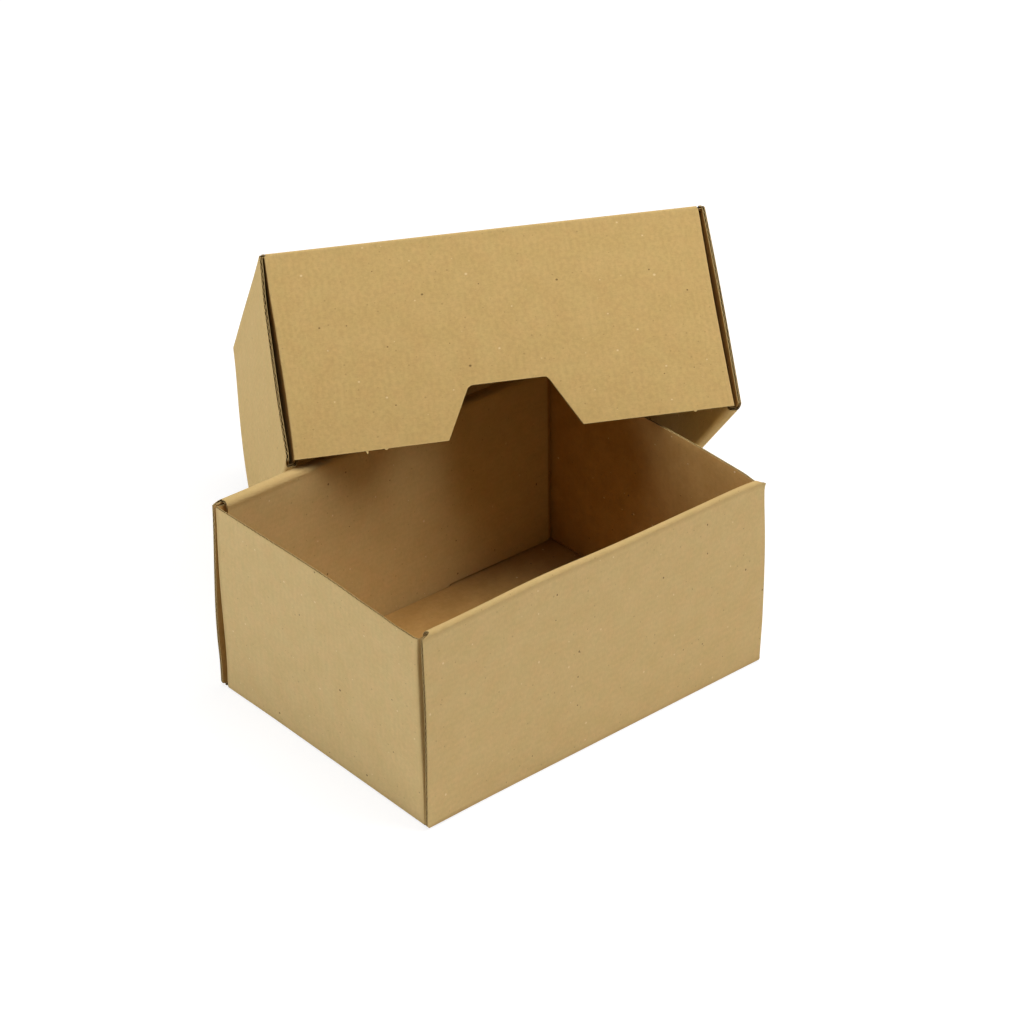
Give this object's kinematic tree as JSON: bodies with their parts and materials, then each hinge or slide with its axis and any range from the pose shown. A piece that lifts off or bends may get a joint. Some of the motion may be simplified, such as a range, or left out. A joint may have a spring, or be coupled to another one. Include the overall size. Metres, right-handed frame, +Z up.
{
  "type": "telescope box",
  "caption": "Open cardboard telescope box: base tray with rolled long walls, and a full-depth lid with a thumb notch, taken off and leaning on the tray's back rim.",
  "frame": {"origin": "middle of the base tray's underside, on the surface that the box stands on", "axes": "+Z up; X along the base tray's long rolled walls, so its single end walls face -X and +X; -Y is the box's front, the side that the base tray and the lid's thumb notch turn to the viewer"},
  "size_m": [0.3198, 0.3138, 0.1794],
  "materials": {
    "kraft_board": "matte"
  },
  "bodies": {
    "root": {"base_tray": "kraft_board", "lid": "kraft_board"}
  },
  "joints": []
}
